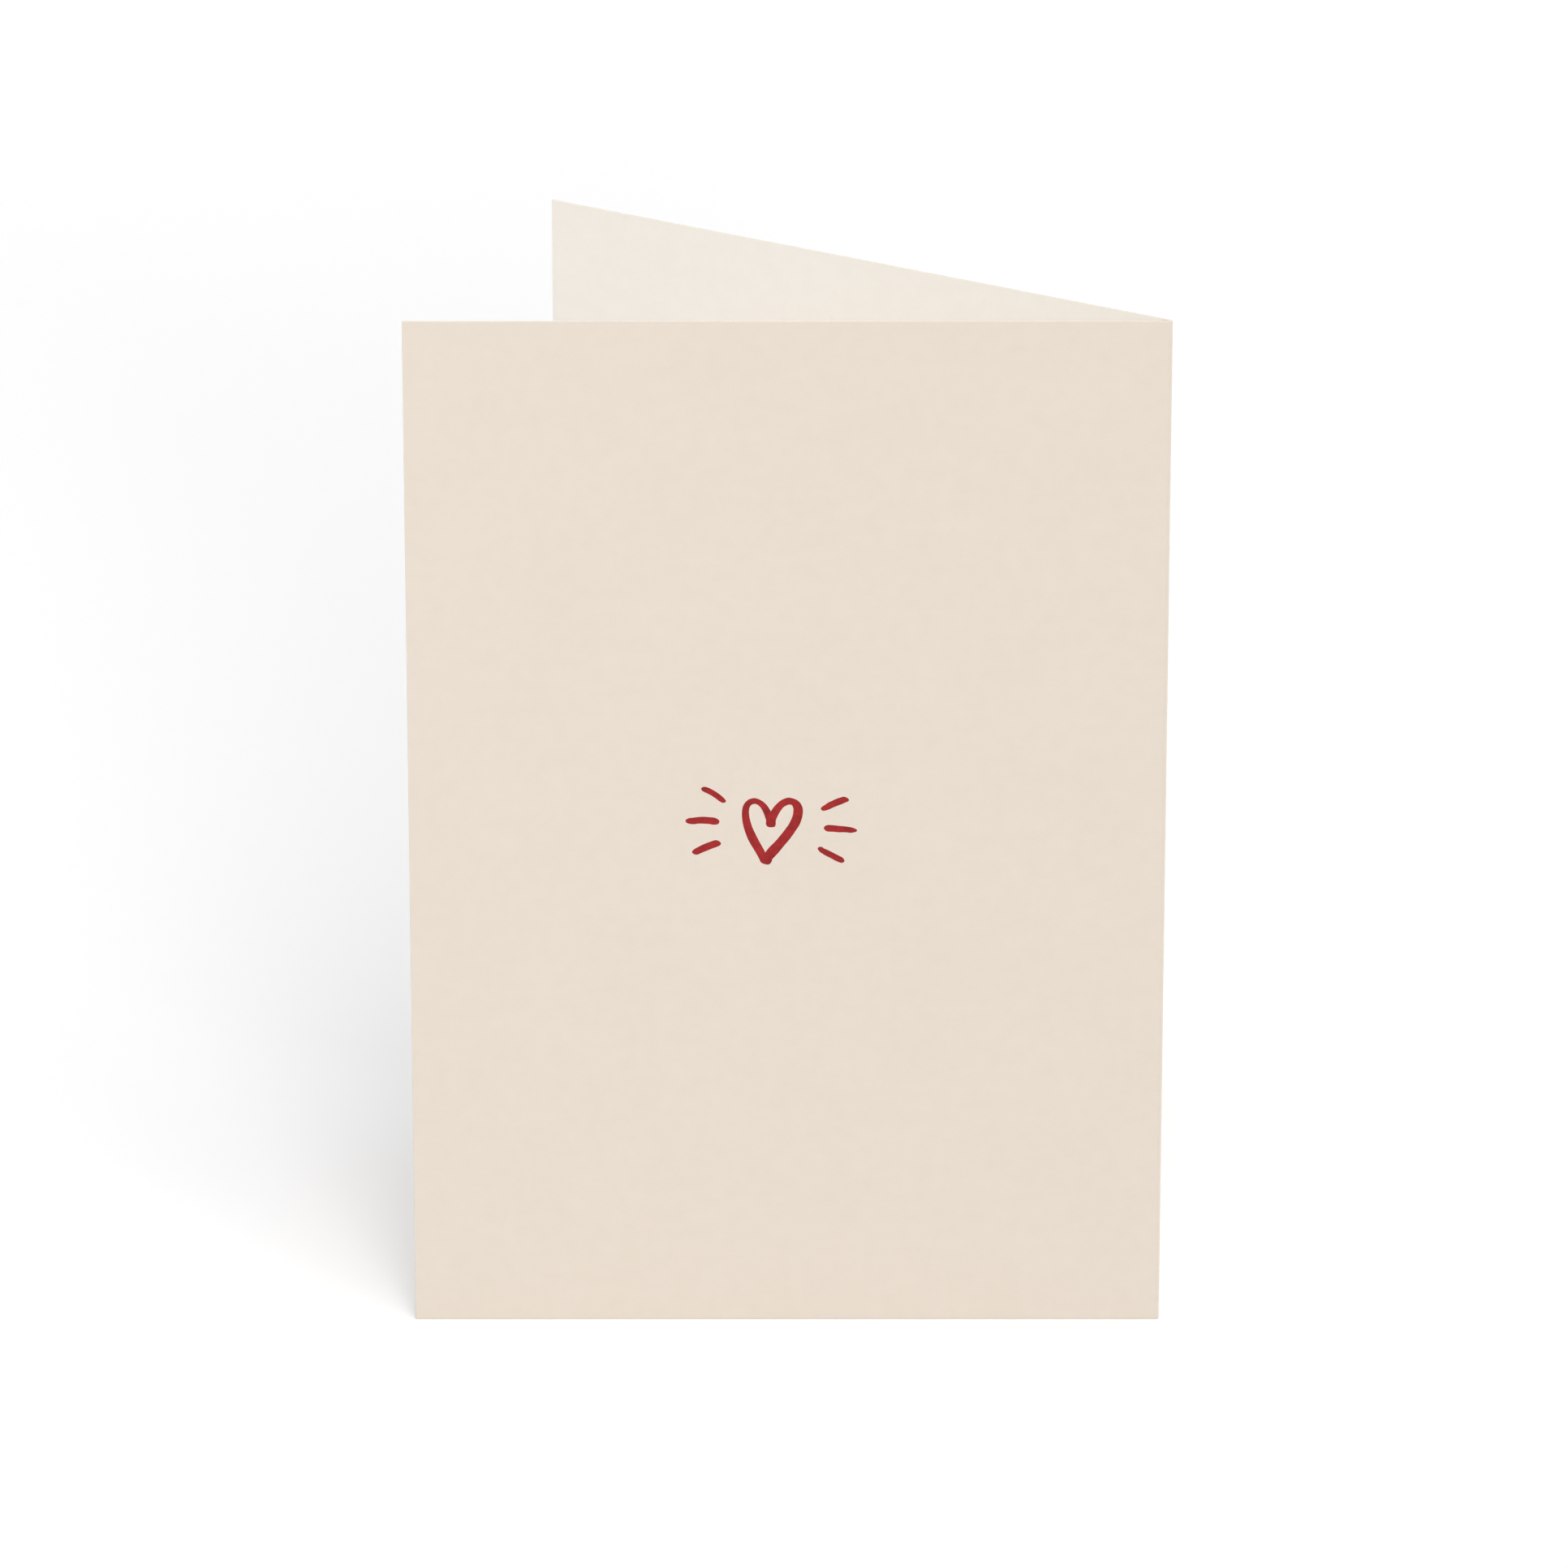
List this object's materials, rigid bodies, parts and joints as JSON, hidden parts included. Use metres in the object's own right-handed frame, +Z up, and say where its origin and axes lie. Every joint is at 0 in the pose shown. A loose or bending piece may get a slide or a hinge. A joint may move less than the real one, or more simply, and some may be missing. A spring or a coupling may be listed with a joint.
{
  "type": "greeting card",
  "caption": "Upright folded greeting card of matte beige board, opened a little, with a small red hand-drawn heart and rays on its back cover.",
  "frame": {"origin": "centre of the bounding box's base, on the surface that the card stands on", "axes": "+Z up, along the fold; the back cover's outer face is parallel to XZ and faces -Y; the fold is on the +X side and the covers open towards -X"},
  "size_m": [0.127, 0.0736, 0.1778],
  "materials": {
    "board": "matte uncoated board, beige outside and cream inside"
  },
  "bodies": {
    "root": {"card": "board"}
  },
  "joints": []
}
